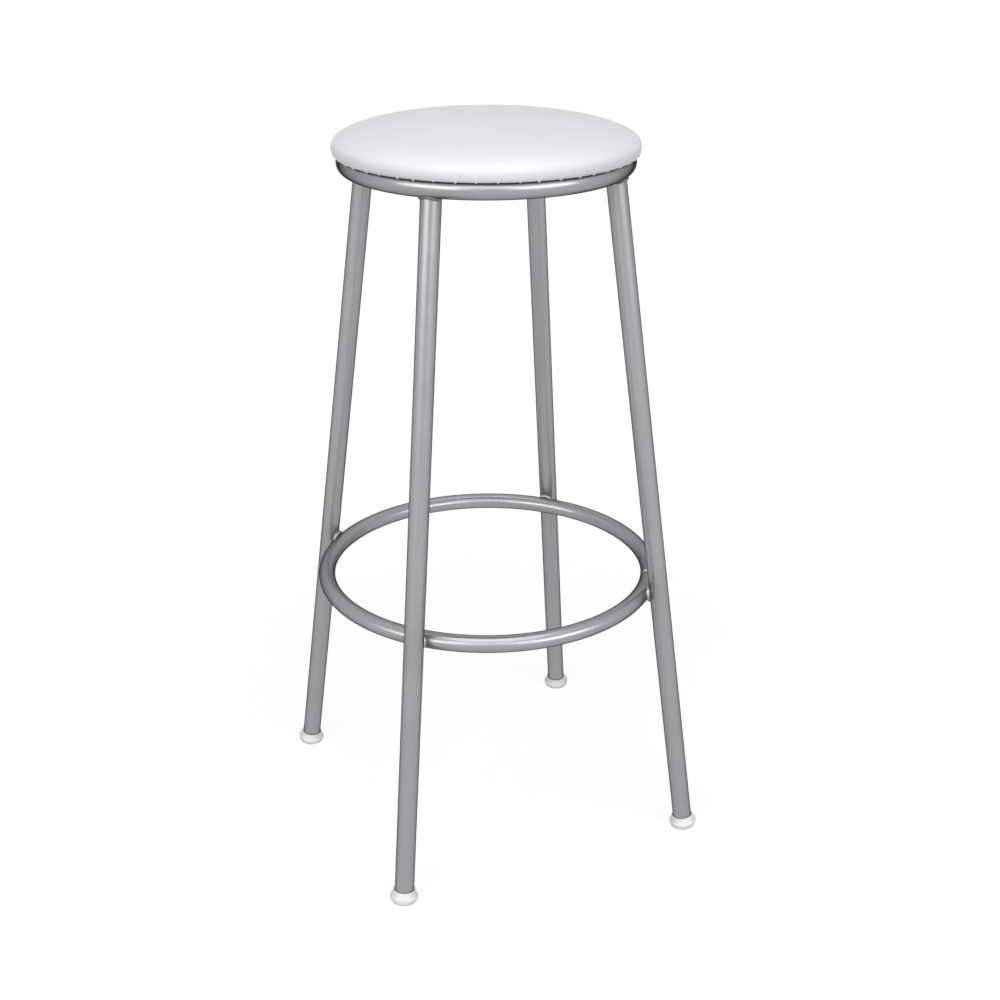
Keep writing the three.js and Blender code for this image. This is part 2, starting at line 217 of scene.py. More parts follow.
class Finish:
    """A material with one Principled shader, and short calls for the nodes that feed it."""

    def __init__(self, name, color, roughness, metallic=0.0, specular=0.5, edge=1.0):
        self.material = bpy.data.materials.new(name)
        self.material.use_nodes = True
        self.tree = self.material.node_tree
        self.shader = self.tree.nodes["Principled BSDF"]
        self.shader.inputs["Base Color"].default_value = (*color, 1)
        self.shader.inputs["Roughness"].default_value = roughness
        self.shader.inputs["Metallic"].default_value = metallic
        self.shader.inputs["Specular IOR Level"].default_value = specular
        self.shader.inputs["Specular Tint"].default_value = (edge, edge, edge, 1)
        self.place = new_node(self.tree, "ShaderNodeTexCoord").outputs["Object"]

    def link(self, source, target):
        self.tree.links.new(source, target)

    def noise(self, scale, detail, stretch=(1, 1, 1)):
        mapping = new_node(self.tree, "ShaderNodeMapping", {"Scale": stretch})
        texture = new_node(self.tree, "ShaderNodeTexNoise", {"Scale": scale, "Detail": detail})
        self.link(self.place, mapping.inputs["Vector"])
        self.link(mapping.outputs["Vector"], texture.inputs["Vector"])
        return texture.outputs["Fac"]

    def cells(self, scale, feature="F1"):
        texture = new_node(self.tree, "ShaderNodeTexVoronoi")
        texture.feature = feature
        texture.inputs["Scale"].default_value = scale
        self.link(self.place, texture.inputs["Vector"])
        return texture.outputs["Distance"]

    def spread(self, value, low, high, out_low, out_high):
        """Maps the range of a value from low to high onto another range."""
        node = new_node(self.tree, "ShaderNodeMapRange", {
            "From Min": low, "From Max": high, "To Min": out_low, "To Max": out_high})
        self.link(value, node.inputs["Value"])
        return node.outputs["Result"]

    def math(self, operation, first, second):
        node = new_node(self.tree, "ShaderNodeMath")
        node.operation = operation
        self.link(first, node.inputs[0])
        self.link(second, node.inputs[1])
        return node.outputs["Value"]

    def vector_math(self, operation, first, second=None):
        """Arithmetic on a place, with a constant place where there is a second one."""
        node = new_node(self.tree, "ShaderNodeVectorMath")
        node.operation = operation
        self.link(first, node.inputs[0])
        if second:
            node.inputs[1].default_value = second
        return node

    def tint(self, share, color):
        """Blends the colour so far towards another by a share."""
        node = new_node(self.tree, "ShaderNodeMix")
        node.data_type = "RGBA"
        base = self.shader.inputs["Base Color"]
        if base.is_linked:
            self.link(base.links[0].from_socket, node.inputs["A"])
        else:
            node.inputs["A"].default_value = base.default_value
        node.inputs["B"].default_value = (*color, 1)
        self.link(share, node.inputs["Factor"])
        self.link(node.outputs["Result"], base)

    def rough(self, noise, smoothest, roughest):
        roughness = self.spread(noise, *NOISE_RANGE, smoothest, roughest)
        self.link(roughness, self.shader.inputs["Roughness"])

    def bump(self, value, depth):
        """Adds relief of a given depth in metres to what the surface has so far."""
        node = new_node(self.tree, "ShaderNodeBump", {"Distance": depth})
        self.link(value, node.inputs["Height"])
        normal = self.shader.inputs["Normal"]
        if normal.is_linked:
            self.link(normal.links[0].from_socket, node.inputs["Normal"])
        self.link(node.outputs["Normal"], normal)

    def distance_to_welds(self, radius, height):
        """Distance to the nearest of four places round the axis, one in each quarter."""
        weld = (radius * cos(pi / 4), radius * sin(pi / 4), height)
        folded = self.vector_math("ABSOLUTE", self.place).outputs["Vector"]
        return self.vector_math("DISTANCE", folded, weld).outputs["Value"]

    def height_above_floor(self):
        node = new_node(self.tree, "ShaderNodeSeparateXYZ")
        self.link(self.place, node.inputs["Vector"])
        return node.outputs["Z"]

    def distance_from_axis(self):
        level = self.vector_math("MULTIPLY", self.place, (1, 1, 0)).outputs["Vector"]
        return self.vector_math("LENGTH", level).outputs["Value"]


# Materials

def white_vinyl():
    finish = Finish("white vinyl", (0.86, 0.862, 0.89), 0.44, specular=0.4)
    patches = finish.noise(14, 3)
    finish.tint(finish.spread(patches, 0.35, 0.7, 0, 0.5), (0.835, 0.838, 0.868))
    grain = finish.cells(1100)
    creases = finish.cells(520, "DISTANCE_TO_EDGE")
    finish.rough(finish.noise(60, 4), 0.4, 0.5)
    finish.bump(finish.spread(grain, 0, 0.6, 0, 1), 0.03 * MM)
    finish.bump(finish.spread(creases, 0, 0.06, 0, 1), 0.035 * MM)
    finish.bump(finish.noise(24, 2), 0.5 * MM)
    return finish.material


def silver_paint():
    """Paint with fine flakes, browned a little near the welds, with painted shade on the seat ring's
    top under the pad's hem.
    """
    finish = Finish("silver paint", (0.33, 0.335, 0.347), 0.31, metallic=0.8, specular=0, edge=0.0)
    finish.tint(finish.spread(finish.noise(18, 4), 0.35, 0.7, 0, 0.45), (0.295, 0.301, 0.313))
    flake = finish.cells(2400)
    finish.tint(finish.spread(flake, 0.1, 0.7, 0, 0.1), (0.5, 0.51, 0.52))
    near_seat = finish.distance_to_welds(SEAT_RING_RADIUS, SEAT_RING_HEIGHT - SEAT_TUBE)
    near_foot = finish.distance_to_welds(FOOT_RING_RADIUS + FOOT_TUBE, FOOT_RING_HEIGHT)
    nearest = finish.math("MINIMUM", near_seat, near_foot)
    blotch = finish.noise(90, 3)
    heat = finish.spread(nearest, 12 * MM, 42 * MM, 0.5, 0)
    finish.tint(finish.math("MULTIPLY", heat, blotch), (0.25, 0.23, 0.19))
    finish.rough(finish.noise(45, 4), 0.27, 0.35)
    # Painted shade: the paint is darkened on the seat ring's outer top, just under the pad's hem.
    painted_shade_bottom, painted_shade_top = SEAT_RING_TOP - 5.2 * MM, SEAT_RING_TOP - 3.8 * MM
    high = finish.spread(finish.height_above_floor(), painted_shade_bottom, painted_shade_top, 0, 0.85)
    from_axis = finish.distance_from_axis()
    outer = finish.spread(from_axis, SEAT_RING_RADIUS, SEAT_RING_RADIUS + 2 * MM, 0, 1)
    finish.tint(finish.math("MULTIPLY", high, outer), (0.05, 0.05, 0.055))
    finish.bump(finish.noise(420, 2), 0.04 * MM)
    finish.bump(finish.noise(75, 2), 0.1 * MM)
    return finish.material


def bright_weld():
    finish = Finish("bright weld", (0.43, 0.43, 0.43), 0.3, metallic=0.8, specular=0, edge=0.2)
    finish.tint(finish.spread(finish.noise(300, 4), 0.4, 0.7, 0, 0.6), (0.27, 0.25, 0.22))
    finish.rough(finish.noise(500, 3), 0.24, 0.4)
    finish.bump(finish.noise(650, 3), 0.25 * MM)
    return finish.material


# A weld darker than the paint round it: painted shade where the leg's top meets the underside of the
# seat ring.
def painted_shade_weld():
    finish = Finish("dull weld", (0.2, 0.195, 0.19), 0.5, metallic=0.3, specular=0.2)
    finish.tint(finish.spread(finish.noise(200, 4), 0.4, 0.7, 0, 0.7), (0.13, 0.12, 0.11))
    finish.rough(finish.noise(400, 3), 0.42, 0.6)
    finish.bump(finish.noise(500, 3), 0.15 * MM)
    return finish.material


def white_plastic():
    """Slightly translucent plastic, dirtier towards the floor."""
    finish = Finish("white plastic", (0.93, 0.93, 0.92), 0.4)
    finish.shader.inputs["Subsurface Weight"].default_value = 0.08
    finish.shader.inputs["Subsurface Radius"].default_value = (1.5 * MM, 1.5 * MM, 1.5 * MM)
    low = finish.spread(finish.height_above_floor(), 0.3 * MM, 2.5 * MM, 0.4, 0)
    finish.tint(finish.math("MULTIPLY", low, finish.noise(260, 4)), (0.42, 0.41, 0.39))
    finish.rough(finish.noise(240, 3), 0.34, 0.48)
    finish.bump(finish.noise(900, 2), 0.03 * MM)
    return finish.material


def birch_plywood():
    finish = Finish("birch plywood", (0.62, 0.44, 0.25), 0.7)
    grain = finish.noise(60, 5, stretch=(1, 9, 1))
    finish.tint(finish.spread(grain, 0.38, 0.66, 0, 0.85), (0.46, 0.30, 0.155))
    pores = finish.noise(420, 2, stretch=(1, 22, 1))
    finish.tint(finish.spread(pores, 0.6, 0.75, 0, 0.6), (0.30, 0.19, 0.10))
    finish.rough(grain, 0.62, 0.8)
    finish.bump(pores, 0.12 * MM)
    return finish.material


def cream_foam():
    finish = Finish("cream foam", (0.78, 0.68, 0.40), 0.95)
    pores = finish.cells(900)
    finish.tint(finish.spread(pores, 0.0, 0.5, 0.7, 0), (0.55, 0.45, 0.22))
    finish.rough(finish.noise(80, 2), 0.9, 1)
    finish.bump(pores, 0.5 * MM)
    return finish.material


def zinc_plate():
    finish = Finish("zinc plate", (0.66, 0.68, 0.70), 0.3, metallic=1.0)
    finish.tint(finish.spread(finish.noise(500, 3), 0.4, 0.7, 0, 0.6), (0.50, 0.51, 0.50))
    finish.rough(finish.noise(800, 3), 0.24, 0.42)
    finish.bump(finish.noise(1400, 2), 0.03 * MM)
    return finish.material


# Pad cover. Its dome is a round grid out to DOME_RIM_SHARE, with rows of points below.

SEGMENTS_PER_GATHER = 3
RIM_SEGMENTS = SEGMENTS_PER_GATHER * GATHERS
DOME_RIM_SHARE = 0.86
LOWER_DOME_SHARES = (0.9, 0.94, 0.975, 1)
RETURN_SPACING = 4 * MM


def dome_point(share, radius, top):
    """The cover's outline from the crown, at share 0, to its widest circle, at share 1."""
    turn = (1 - share) * pi / 2
    out = radius * cos(turn) ** DOME_SIDE_POWER if share else 0
    return out, PAD_WIDEST + (top - PAD_WIDEST) * sin(turn) ** DOME_TOP_POWER


def seated_on_ring(out, up):
    """Keeps the cover's underside clear of the seat ring, whose crown it rests on."""
    across = abs(out - SEAT_RING_RADIUS)
    if across >= SEAT_TUBE:
        return up
    crown = SEAT_RING_HEIGHT + sqrt(SEAT_TUBE ** 2 - across ** 2) + CLEARANCE
    return max(up, crown)


def underside(out):
    """Height of the cover's return: flat under the board, and hanging a little lower at the hem."""
    drop = HEM_DROP * smooth_step(SEAT_RING_RADIUS + 1 * MM, HEM_RADIUS - 1.5 * MM, out)
    return seated_on_ring(out, COVER_BOTTOM - drop)


def edge_and_return(radius, top):
    """The outline below the dome's grid: its last steps, the rolled hem and the return."""
    lower_dome = [dome_point(share, radius, top) for share in LOWER_DOME_SHARES]
    roll_radii = (radius - HEM_RADIUS, PAD_WIDEST - HEM_BOTTOM)
    roll = arc((HEM_RADIUS, PAD_WIDEST), roll_radii, 0, -pi / 2, 5)[1:]
    steps = round((HEM_RADIUS - RETURN_RADIUS) / RETURN_SPACING)
    under = [HEM_RADIUS - i * RETURN_SPACING for i in range(1, steps)] + [RETURN_RADIUS]
    return lower_dome + roll + [(out, underside(out)) for out in under]


def round_grid_point(x, y):
    """Bends a point of a square into a disc, so that points spaced evenly along its rim stay so."""
    if x == y == 0:
        return 0, 0
    if abs(x) >= abs(y):
        reach, turn = x, pi / 4 * y / x
    else:
        reach, turn = y, pi / 2 - pi / 4 * x / y
    return abs(reach), atan2(reach * sin(turn), reach * cos(turn))


def cover_blank(radius, top):
    """The cover before its gathers: the dome's round grid, and rows down and under from its rim."""
    bm = bmesh.new()
    side = RIM_SEGMENTS // 4
    bmesh.ops.create_grid(bm, x_segments=side, y_segments=side, size=1)
    for vert in bm.verts:
        share, turn = round_grid_point(vert.co.x, vert.co.y)
        out, up = dome_point(share * DOME_RIM_SHARE, radius, top)
        vert.co = (out * cos(turn), out * sin(turn), up)
    rim = [edge for edge in bm.edges if edge.is_boundary]
    for out, up in edge_and_return(radius, top):
        grown = bmesh.ops.extrude_edge_only(bm, edges=rim)["geom"]
        rim = edges_of(grown)
        for vert in verts_of(grown):
            turn = atan2(vert.co.y, vert.co.x)
            vert.co = (out * cos(turn), out * sin(turn), up)
    bmesh.ops.recalc_face_normals(bm, faces=bm.faces)
    mesh = bpy.data.meshes.new("cover blank")
    bm.to_mesh(mesh)
    bm.free()
    return mesh


def nearest_gather(turn):
    """The gather nearest to a turn round the axis, and how far off it is, in gather spacings."""
    place = turn / GATHER_SPACING - 0.5
    number = round(place)
    return number % GATHERS, place - number


def chance(number, seed):
    """A fixed number between 0 and 1 for each gather."""
    value = sin(number * 12.9898 + seed * 78.233) * 43758.5453
    return value - value // 1


# Air that fills the cover. The blank is wider and lower by what the air draws in and lifts.
AIR_FRAMES = 20
AIR_LIMIT = 2 * MM
AIR_DRAW = 0.3 * MM
AIR_LIFT = 0.2 * MM
STAPLE_HOLD = 0.3


def blow_up(piece):
    """Fills the cover with air for a few frames of cloth simulation, held where it is stapled."""
    held = piece.vertex_groups.new(name="stapled")
    for vert in piece.data.vertices:
        out = hypot(vert.co.x, vert.co.y)
        offset = nearest_gather(atan2(vert.co.y, vert.co.x))[1]
        under = vert.co.z < COVER_BOTTOM + 0.5 * MM
        if under and (out < BOARD_RADIUS or abs(offset) < STAPLE_HOLD):
            held.add([vert.index], 1, "REPLACE")
    start = [vert.co.copy() for vert in piece.data.vertices]
    cloth = piece.modifiers.new("air", "CLOTH")
    cloth.settings.quality = 6
    cloth.settings.mass = 0.4
    cloth.settings.tension_stiffness = 18
    cloth.settings.compression_stiffness = 12
    cloth.settings.bending_stiffness = 1.5
    cloth.settings.use_pressure = True
    cloth.settings.uniform_pressure_force = 1
    cloth.settings.vertex_group_mass = held.name
    cloth.settings.effector_weights.gravity = 0
    scene = bpy.context.scene
    for number in range(AIR_FRAMES):
        scene.frame_set(number + 1)
    posed = piece.evaluated_get(bpy.context.evaluated_depsgraph_get())
    moves = [vert.co - place for vert, place in zip(posed.data.vertices, start)]
    piece.modifiers.remove(cloth)
    scene.frame_set(1)
    piece.vertex_groups.clear()
    for vert, place, move in zip(piece.data.vertices, start, moves):
        vert.co = place + move * min(1, AIR_LIMIT / max(move.length, 1e-9))


# Gathers: pleats of chance sizes, each with a furrow along both its sides
GATHER_SWAY = 0.2
GATHER_PUFF = 0.35 * MM
FURROW_DEPTH = 0.2 * MM
HEM_DROOP = 0.9 * MM
RETURN_DROOP = 1.1 * MM
GATHER_BAND = 7 * MM
GATHER_CUTS = 5


def gathered(vert):
    """Where a point of the cover goes in the nearest gather, at the hem or where it is stapled."""
    out, turn = hypot(vert.co.x, vert.co.y), atan2(vert.co.y, vert.co.x)
    number, offset = nearest_gather(turn)
    sway = (chance(number, 1) - 0.5) * GATHER_SWAY
    size = 0.5 + 0.6 * chance(number, 2)
    width = (0.75 + 0.45 * chance(number, 3)) * MM
    length = (2.4 + 2 * chance(number, 4)) * MM
    across = (offset - sway) * GATHER_SPACING * out
    ridge = exp(-(across / width) ** 2)
    furrow = exp(-((abs(across) - 2.4 * width) / (1.2 * width)) ** 2)
    hem = smooth_step(HEM_RADIUS - 6 * MM, HEM_RADIUS - 2 * MM, out)
    low = 1 - smooth_step(0.8 * MM, length, vert.co.z - HEM_BOTTOM)
    inside = 1 - smooth_step(SEAT_RING_RADIUS - 9 * MM, SEAT_RING_RADIUS - 5 * MM, out)
    off_staple = smooth_step(2 * MM, 5 * MM, abs(out - STAPLE_RADIUS))
    puff = hem * low * size * (GATHER_PUFF * ridge - FURROW_DEPTH * furrow)
    droop = size * ridge * (hem * low * HEM_DROOP + inside * off_staple * RETURN_DROOP)
    moved = vert.co + vert.normal * puff - Vector((0, 0, droop))
    moved.z = seated_on_ring(hypot(moved.x, moved.y), moved.z)
    return moved


def is_around(edge):
    """Whether an edge of the subdivided cover runs round the axis rather than out from it."""
    first, second = [vert.co for vert in edge.verts]
    turn = abs(atan2(first.y, first.x) - atan2(second.y, second.x))
    spacing = GATHER_SPACING / (2 * SEGMENTS_PER_GATHER)
    return min(turn, 2 * pi - turn) > 0.7 * spacing


def pad_cover(material):
    """The vinyl cover, blown up, gathered at its hem and under it, and given its thickness."""
    mesh = cover_blank(PAD_RADIUS + AIR_DRAW, SEAT_TOP - AIR_LIFT)
    cover = placed(mesh, "pad_cover", material, "vinyl", "seat_cover")
    blow_up(cover)
    subdivision = cover.modifiers.new("finer", "SUBSURF")
    subdivision.levels = 1
    subdivision.render_levels = 1
    bpy.context.view_layer.update()
    evaluated = cover.evaluated_get(bpy.context.evaluated_depsgraph_get())
    bm = bmesh.new()
    bm.from_mesh(evaluated.data)
    band_top = HEM_BOTTOM + GATHER_BAND
    around = [
        edge for edge in bm.edges
        if all(vert.co.z < band_top for vert in edge.verts) and is_around(edge)
    ]
    bmesh.ops.subdivide_edges(bm, edges=around, cuts=GATHER_CUTS)
    bm.normal_update()
    moves = [(vert, gathered(vert)) for vert in bm.verts if vert.co.z < band_top]
    for vert, place in moves:
        vert.co = place
    bmesh.ops.solidify(bm, geom=bm.faces, thickness=COVER_THICKNESS)
    for face in bm.faces:
        face.smooth = True
    cover.modifiers.clear()
    bm.to_mesh(cover.data)
    bm.free()


FOAM_STEPS = 30
FOAM_SIDES = 96


def foam_core(material):
    """The foam over the board: a dome with a rebate for the board in its underside."""
    inset = COVER_THICKNESS + CLEARANCE
    rebate_radius = BOARD_RADIUS + CLEARANCE
    rebate_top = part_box("seat_board")[1].z + CLEARANCE
    profile = [(0, rebate_top), (rebate_radius, rebate_top), (rebate_radius, PAD_WIDEST)]
    for i in range(FOAM_STEPS + 1):
        profile.append(dome_point(1 - i / FOAM_STEPS, PAD_RADIUS - inset, SEAT_TOP - inset))
    bm = bmesh.new()
    turned(bm, profile, FOAM_SIDES)
    finished(bm, "foam_core", material, "foam", "seat_foam")


# Rings. A seam's bead runs round most of the tube, and its middle faces one way there.

RING_SIDES = 48
RING_STEPS = 288
SEAT_SEAM_FACING = radians(-90)
FOOT_SEAM_FACING = radians(45)
SEAM_SWEEP = radians(226)
SEAM_STEPS = 90
SEAM_SINK = 0.4 * MM


def rolled_tube(node, radius, height, tube, seam_angle, material):
    """A tube rolled into a ring, its two open ends facing each other across the seam."""
    half_gap = SEAM_GAP / 2 / radius
    start = turned_about_axis(seam_angle + half_gap) @ Matrix.Translation((radius, 0, height))
    section = start @ Matrix.Rotation(pi / 2, 4, "X")
    bm = bmesh.new()
    for reach in (tube, tube - TUBE_WALL):
        bmesh.ops.create_circle(bm, segments=RING_SIDES, radius=reach, matrix=section)
    first = list(bm.edges)
    swept = bmesh.ops.spin(
        bm, geom=list(bm.verts) + first, cent=(0, 0, 0), axis=(0, 0, 1),
        angle=2 * pi - 2 * half_gap, steps=RING_STEPS, use_merge=False)
    bmesh.ops.bridge_loops(bm, edges=first)
    bmesh.ops.bridge_loops(bm, edges=edges_of(swept["geom_last"]))
    finished(bm, node + "_fine", material, "painted_steel", node)


def seam_weld(node, radius, height, tube, seam_angle, facing, material):
    """The bead across a ring's seam."""
    reach = tube - SEAM_SINK
    start, end = facing - SEAM_SWEEP / 2, facing + SEAM_SWEEP / 2
    points = arc((radius, height), (reach, reach), start, end, SEAM_STEPS)
    turn = turned_about_axis(seam_angle)
    path = [turn @ Vector((out, 0, up)) for out, up in points]
    weld_bead(node, path, SEAM_BEAD, material)


# Legs, in the plane of the X and Z axes until they are turned to their places. Their tubes start
# at GLIDE_HEIGHT. LEG_WELD_SWEEP is how far the bead runs each way from the outer side.

GLIDE_HEIGHT = 12 * MM
LEG_SIDES = 64
LEG_HORN_TOP = (SEAT_RING_HEIGHT - LEG_HORN_DROP) / cos(LEAN)
SADDLE_HALVINGS = 30
LEG_WELD_SWEEP = radians(112)
LEG_WELD_STEPS = 120
FOOT_WELD_REACH = 6.6 * MM
FOOT_WELD_STEPS = 110


def leg_point(reach, turn, along):
    return LEG_FRAME @ Vector((reach * cos(turn), reach * sin(turn), along))


def leg_top(reach, turn):
    """How far up the leg a line of its surface runs before it meets the seat ring's underside."""
    low, high = SEAT_RING_HEIGHT / 2, SEAT_RING_HEIGHT / cos(LEAN)
    for _ in range(SADDLE_HALVINGS):
        along = (low + high) / 2
        point = leg_point(reach, turn, along)
        off_axis = hypot(point.x, point.y) - SEAT_RING_RADIUS
        clear = hypot(off_axis, point.z - SEAT_RING_HEIGHT) > SEAT_TUBE + CLEARANCE
        if point.z < SEAT_RING_HEIGHT and clear:
            low = along
        else:
            high = along
    return min(low, LEG_HORN_TOP)


def leg_tube(place, angle, material):
    """A straight tube whose top is coped to fit under the seat ring."""
    bm = bmesh.new()
    lift = Matrix.Translation((0, 0, GLIDE_HEIGHT))
    ends = []
    for reach in (LEG_TUBE, LEG_TUBE - TUBE_WALL):
        circle = bmesh.ops.create_circle(bm, segments=LEG_SIDES, radius=reach, matrix=lift)["verts"]
        foot = [edge for edge in bm.edges if all(vert in circle for vert in edge.verts)]
        grown = bmesh.ops.extrude_edge_only(bm, edges=foot)["geom"]
        for vert in verts_of(grown):
            vert.co.z = leg_top(reach, atan2(vert.co.y, vert.co.x))
        ends.append((foot, edges_of(grown)))
    for outer, inner in zip(*ends):
        bmesh.ops.bridge_loops(bm, edges=outer + inner)
    bm.transform(turned_about_axis(angle) @ LEG_FRAME)
    finished(bm, f"leg_{place}_fine", material, "painted_steel", f"leg_{place}")


def leg_weld(place, angle, material):
    """The bead laid round the outer side of the leg's top."""
    turn = turned_about_axis(angle)
    path = []
    for i in range(LEG_WELD_STEPS + 1):
        around = LEG_WELD_SWEEP * (2 * i / LEG_WELD_STEPS - 1)
        path.append(turn @ leg_point(LEG_TUBE, around, leg_top(LEG_TUBE, around)))
    weld_bead(f"leg_weld_{place}", path, LEG_BEAD, material)


def foot_ring_weld(place, angle, material):
    """The bead round the spot where the foot ring lies against a leg."""
    contact = Vector((FOOT_RING_RADIUS, 0, FOOT_RING_HEIGHT))
    contact += Vector((cos(LEAN), 0, sin(LEAN))) * (FOOT_TUBE + CLEARANCE / 2)
    spot = Matrix.Translation(contact) @ Matrix.Rotation(-LEAN, 4, "Y")
    spot = turned_about_axis(angle) @ spot
    path = []
    for i in range(FOOT_WELD_STEPS):
        around = 2 * pi * i / FOOT_WELD_STEPS
        path.append(spot @ Vector((0, FOOT_WELD_REACH * cos(around), FOOT_WELD_REACH * sin(around))))
    weld_bead(f"foot_ring_weld_{place}", path, FOOT_RING_BEAD, material, closed=True)


# Glides: a cup with a rounded base, a shoulder, sides that flare in to the rim and a small lip, and
# the stem inside the leg's tube

GLIDE_BASE_RADIUS = 10.2 * MM
GLIDE_RADIUS = 14.6 * MM
GLIDE_WAIST = 5 * MM
GLIDE_SHOULDER = 1.5 * MM
GLIDE_RIM_WALL = 1.1 * MM
GLIDE_RIM_RISE = 0.6 * MM
GLIDE_LIP = (0.45 * MM, 0.5 * MM)
GLIDE_SIDES = 72
FLARE_END = 0.4 * MM
FLARE_STEPS = 6
FLARE_POWER = 1.5
STEM_LENGTH = 22 * MM
STEM_RIBS = 3
STEM_RIB_PITCH = 6 * MM
STEM_RIB_WIDTH = 1.6 * MM
STEM_RIB_DEPTH = 1.5 * MM


def glide_profile():
    """The cup and its stem as [radius, height] pairs, with the height measured along the leg."""
    base_drop = GLIDE_BASE_RADIUS * tan(LEAN)
    rim_inner = LEG_TUBE + CLEARANCE
    rim_outer = rim_inner + GLIDE_RIM_WALL
    rim_top = GLIDE_HEIGHT + GLIDE_RIM_RISE
    base_radii = (GLIDE_RADIUS - GLIDE_BASE_RADIUS, GLIDE_WAIST + base_drop)
    base = arc((GLIDE_BASE_RADIUS, GLIDE_WAIST), base_radii, -pi / 2, 0, 12)
    shoulder_centre = (GLIDE_RADIUS - GLIDE_SHOULDER, GLIDE_WAIST)
    shoulder = arc(shoulder_centre, (GLIDE_SHOULDER, GLIDE_SHOULDER), 0, radians(50), 6)[1:]
    side, start = shoulder[-1]
    rise = rim_top - FLARE_END - start
    flare = []
    for i in range(1, FLARE_STEPS):
        share = i / FLARE_STEPS
        inwards = (rim_outer - side) * (1 - (1 - share) ** FLARE_POWER)
        flare.append((side + inwards, start + rise * share))
    lip_centre = (rim_outer - GLIDE_LIP[0], rim_top - GLIDE_LIP[1])
    lip = arc(lip_centre, GLIDE_LIP, 0.3, pi * 0.8, 6)
    seat = GLIDE_HEIGHT - CLEARANCE
    rib = LEG_TUBE - TUBE_WALL - CLEARANCE
    core = rib - STEM_RIB_DEPTH
    stem = [(rim_inner, seat), (core, seat)]
    for number in range(STEM_RIBS):
        start = seat + (number + 0.5) * STEM_RIB_PITCH
        stem += [(core, start), (rib, start), (core, start + STEM_RIB_WIDTH)]
    top = seat + STEM_LENGTH
    return [(0, -base_drop), *base, *shoulder, *flare, *lip, *stem, (core, top), (0, top)]


def glide(place, angle, material):
    """A glide, cut flat where it stands on the floor."""
    bm = bmesh.new()
    turned(bm, glide_profile(), GLIDE_SIDES)
    bm.transform(turned_about_axis(angle) @ LEG_FRAME)
    everything = list(bm.verts) + list(bm.edges) + list(bm.faces)
    bmesh.ops.bisect_plane(
        bm, geom=everything, plane_co=(0, 0, 0), plane_no=(0, 0, -1), clear_outer=True)
    bmesh.ops.holes_fill(bm, edges=[edge for edge in bm.edges if edge.is_boundary], sides=0)
    finished(bm, f"glide_{place}_fine", material, "white_plastic", f"glide_{place}")


# Seat tabs, screws and staples

TAB_THICKNESS = 3 * MM
TAB_WELD_LENGTH = 15 * MM
TAB_WELD_STEPS = 60
SCREW_SIDES = 40
SCREW_TURN = radians(20)


def merged_copy(node):
    """The frame's mesh of a node, with its flat faces made whole."""
    bm = bmesh.new()
    bm.from_mesh(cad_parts[node].data)
    bmesh.ops.remove_doubles(bm, verts=bm.verts, dist=0.005 * MM)
    bmesh.ops.dissolve_limit(bm, angle_limit=radians(1), verts=bm.verts, edges=bm.edges)
    return bm


def seat_tab(place, material):
    """The frame's tab, with its edges rounded."""
    name = f"seat_tab_{place}"
    tab = finished(merged_copy(name), name + "_fine", material, "painted_steel", name, smooth=False)
    bevel = tab.modifiers.new("eased edges", "BEVEL")
    bevel.width = 0.4 * MM
    bevel.segments = 2
    bevel.limit_method = "ANGLE"
    bevel.angle_limit = radians(35)


def tab_weld(place, angle, material):
    """A short bead between the seat ring and the underside of a tab."""
    underside_of_tab = SEAT_RING_TOP - TAB_THICKNESS
    flank = SEAT_RING_RADIUS - sqrt(SEAT_TUBE ** 2 - (underside_of_tab - SEAT_RING_HEIGHT) ** 2)
    turn = turned_about_axis(angle)
    path = []
    for i in range(TAB_WELD_STEPS + 1):
        along = TAB_WELD_LENGTH * (i / TAB_WELD_STEPS - 0.5)
        path.append(turn @ Vector((flank, along, underside_of_tab)))
    weld_bead(f"tab_weld_{place}", path, TAB_BEAD, material)


def cut_away(piece, cutter):
    """Cuts a bmesh's shape out of a piece for good."""
    mesh = bpy.data.meshes.new("cutter")
    cutter.to_mesh(mesh)
    cutter.free()
    tool = bpy.data.objects.new("cutter", mesh)
    bpy.context.scene.collection.objects.link(tool)
    boolean = piece.modifiers.new("cut", "BOOLEAN")
    boolean.object = tool
    boolean.use_self = True
    bpy.context.view_layer.update()
    evaluated = piece.evaluated_get(bpy.context.evaluated_depsgraph_get())
    result = bpy.data.meshes.new_from_object(evaluated)
    piece.modifiers.clear()
    piece.data = result
    bpy.data.objects.remove(tool)


def seat_screw(place, angle, material):
    """A pan-headed wood screw with a cross recess, turned up through a tab into the board."""
    low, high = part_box(f"seat_screw_{place}")
    centre = (low + high) / 2
    head_radius, head_height, shank = 4.2 * MM, 2.6 * MM, 2.1 * MM
    length, width, depth = 4.4 * MM, 0.9 * MM, 2.6 * MM
    bm = bmesh.new()
    dome = arc((0, low.z + head_height), (head_radius, head_height), -pi / 2, 0, 10)
    point = [(shank, high.z - shank), (0, high.z)]
    turned(bm, [*dome, (shank, low.z + head_height), *point], SCREW_SIDES)
    screw = finished(bm, f"seat_screw_{place}_fine", material, "fastener_zinc", f"seat_screw_{place}")
    recess = bmesh.new()
    for size in ((length, width, depth), (width, length, depth)):
        slit = Matrix.Translation((0, 0, low.z)) @ Matrix.Diagonal((*size, 1))
        bmesh.ops.create_cube(recess, size=1, matrix=slit)
    cut_away(screw, recess)
    place_in_tab = Matrix.Translation((centre.x, centre.y, 0)) @ turned_about_axis(angle + SCREW_TURN)
    screw.data.transform(place_in_tab)
    screw.data.set_sharp_from_angle(angle=SHARP_CORNER)


